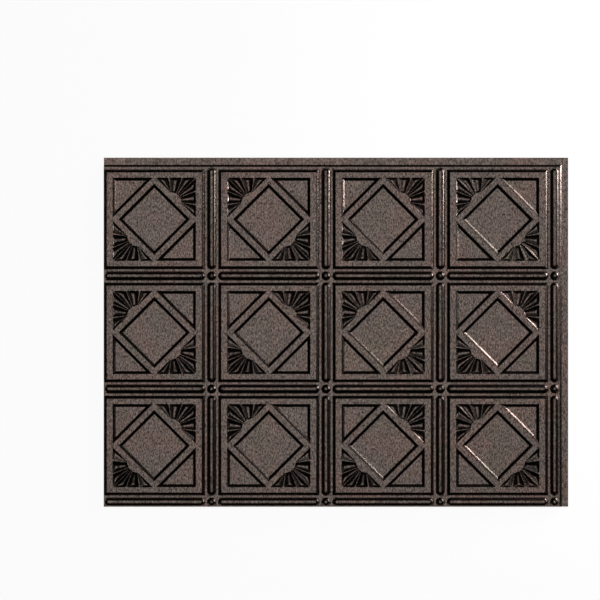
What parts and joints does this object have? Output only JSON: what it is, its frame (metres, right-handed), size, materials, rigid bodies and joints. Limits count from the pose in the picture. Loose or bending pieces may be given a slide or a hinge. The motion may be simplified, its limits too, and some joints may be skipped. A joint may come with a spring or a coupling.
{
  "type": "vinyl backsplash panel",
  "caption": "Thin formed vinyl wall sheet with a pressed-tin relief of framed squares, sunk diamonds, corner fans and bead rails, and a lap flange along two edges.",
  "frame": {"origin": "under the middle of the panel's outline, on the surface that the panel lies on", "axes": "+X along the panel's length, towards the side lap flange; +Y across it, towards the top lap flange; +Z out of the relief face"},
  "size_m": [0.6176, 0.4642, 0.0063],
  "materials": {
    "vinyl_film": "satin dark pewter film with brown patches on rigid vinyl"
  },
  "bodies": {
    "root": {"backsplash_panel": "vinyl_film"}
  },
  "joints": []
}
